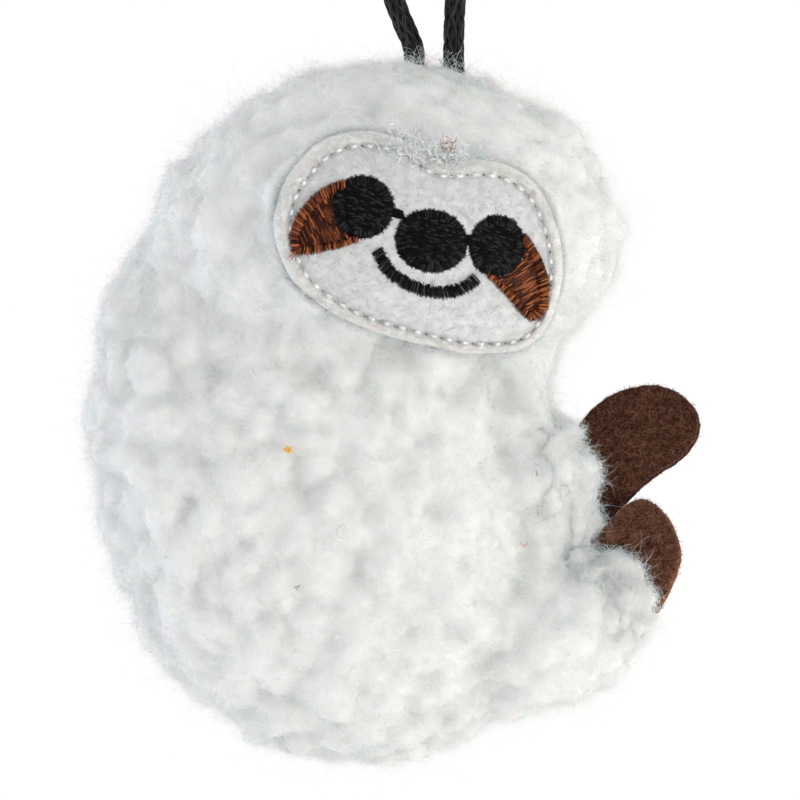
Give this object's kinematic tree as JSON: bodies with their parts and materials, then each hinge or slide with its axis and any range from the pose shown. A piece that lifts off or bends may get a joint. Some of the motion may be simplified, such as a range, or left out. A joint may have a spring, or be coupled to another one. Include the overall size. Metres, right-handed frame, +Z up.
{
  "type": "plush sloth ornament",
  "caption": "Small stuffed sloth in curly white fleece, with an embroidered felt face and brown felt paws, that hangs from a loop of black cord.",
  "frame": {"origin": "inside top of the cord loop, where the hook or twig that carries the ornament bears", "axes": "+Z up along the hanging toy, +X towards the paws, the face looks along -Y"},
  "size_m": [0.0849, 0.0389, 0.1823],
  "materials": {
    "white_fleece": "curly polyester fleece, matte",
    "polyester_filling": "loose fibre",
    "white_thread": "twisted sewing thread",
    "white_felt": "pressed felt, matte",
    "black_embroidery": "rayon thread in satin stitch",
    "brown_embroidery": "rayon thread in satin stitch",
    "brown_felt": "pressed felt, matte",
    "satin_cord": "braided satin cord"
  },
  "bodies": {
    "cord": {"hanging_cord": "satin_cord"},
    "plush": {"left_cord_tail": "satin_cord", "right_cord_tail": "satin_cord", "torso_front_cover": "white_fleece", "torso_back_cover": "white_fleece", "torso_filling": "polyester_filling", "torso_seam_thread": "white_thread", "head_front_cover": "white_fleece", "head_back_cover": "white_fleece", "head_filling": "polyester_filling", "head_seam_thread_1": "white_thread", "head_seam_thread_2": "white_thread", "arm_front_cover": "white_fleece", "arm_back_cover": "white_fleece", "arm_filling": "polyester_filling", "arm_seam_thread": "white_thread", "leg_front_cover": "white_fleece", "leg_back_cover": "white_fleece", "leg_filling": "polyester_filling", "leg_seam_thread_1": "white_thread", "leg_seam_thread_2": "white_thread", "face_felt": "white_felt", "face_stitches": "white_thread", "left_eye_patch": "brown_embroidery", "right_eye_patch": "brown_embroidery", "left_eye": "black_embroidery", "right_eye": "black_embroidery", "nose": "black_embroidery", "smile": "black_embroidery"},
    "upper_paw": {"upper_paw_front_felt": "brown_felt", "upper_paw_back_felt": "brown_felt"},
    "lower_paw": {"lower_paw_front_felt": "brown_felt", "lower_paw_back_felt": "brown_felt"}
  },
  "joints": [
    {"name": "body_swing", "type": "hinge", "parent": "cord", "child": "plush", "pos_m": [0.01145, 0, -0.08], "axis": [1, 0, 0], "range_deg": [-60, 60]},
    {"name": "upper_paw_bend", "type": "hinge", "parent": "plush", "child": "upper_paw", "pos_m": [0.03325, 0.0015, -0.13792], "axis": [-0.3156, 0, 0.9489], "range_deg": [-5, 40], "stiffness_Nm_per_rad": 0.0002},
    {"name": "lower_paw_bend", "type": "hinge", "parent": "plush", "child": "lower_paw", "pos_m": [0.03834, -0.0015, -0.15181], "axis": [-0.7133, 0, 0.7009], "range_deg": [-40, 5], "stiffness_Nm_per_rad": 0.0002}
  ]
}
